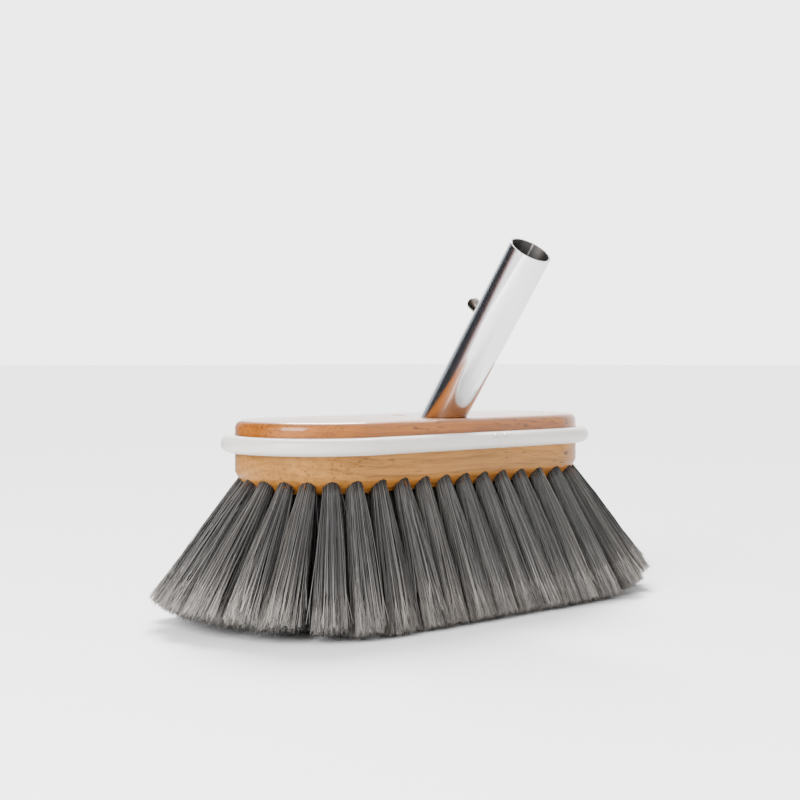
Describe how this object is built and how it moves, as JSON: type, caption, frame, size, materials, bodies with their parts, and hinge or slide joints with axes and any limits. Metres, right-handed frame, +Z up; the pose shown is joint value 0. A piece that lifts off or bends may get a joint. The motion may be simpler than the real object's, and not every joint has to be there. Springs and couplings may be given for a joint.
{
  "type": "pool wall brush",
  "caption": "Oval varnished wood scrub brush with a white vinyl bumper, flared grey bristle tufts and a tilted metal handle tube with a spring snap button.",
  "frame": {"origin": "on the plane of the bristle tips, under the middle of the block: the flat tip of the centre row's middle tuft", "axes": "+X along the block, +Z up through the block, away from the bristle tips; the handle tube leans towards -Y"},
  "size_m": [0.3644, 0.1897, 0.2194],
  "materials": {
    "varnished_wood": "gloss",
    "white_vinyl": "satin",
    "polished_tube": "polished",
    "button_nickel": "satin",
    "spring_steel": "satin",
    "brad_steel": "satin",
    "screw_steel": "satin",
    "grey_bristle": "matte"
  },
  "bodies": {
    "brush": {"wood_block": "varnished_wood", "bumper_strip": "white_vinyl", "seam_brad_left": "brad_steel", "seam_brad_right": "brad_steel", "handle_tube": "polished_tube", "lock_screw": "screw_steel", "spring_fixed_leaf": "spring_steel", "outer_tufts_front": "grey_bristle", "outer_tufts_back": "grey_bristle", "outer_tufts_left": "grey_bristle", "outer_tufts_right": "grey_bristle", "second_tufts_front": "grey_bristle", "second_tufts_back": "grey_bristle", "second_tufts_left": "grey_bristle", "second_tufts_right": "grey_bristle", "inner_tufts_front": "grey_bristle", "inner_tufts_back": "grey_bristle", "inner_tufts_left": "grey_bristle", "inner_tufts_right": "grey_bristle", "centre_tufts": "grey_bristle"},
    "button_lever": {"spring_moving_leaf": "spring_steel", "snap_button": "button_nickel", "button_rivet": "spring_steel"}
  },
  "joints": [
    {"name": "button_press", "type": "hinge", "parent": "brush", "child": "button_lever", "pos_m": [0, -0.0333, 0.14508], "axis": [1, 0, 0], "range_deg": [0, 13.3], "stiffness_Nm_per_rad": 2}
  ]
}
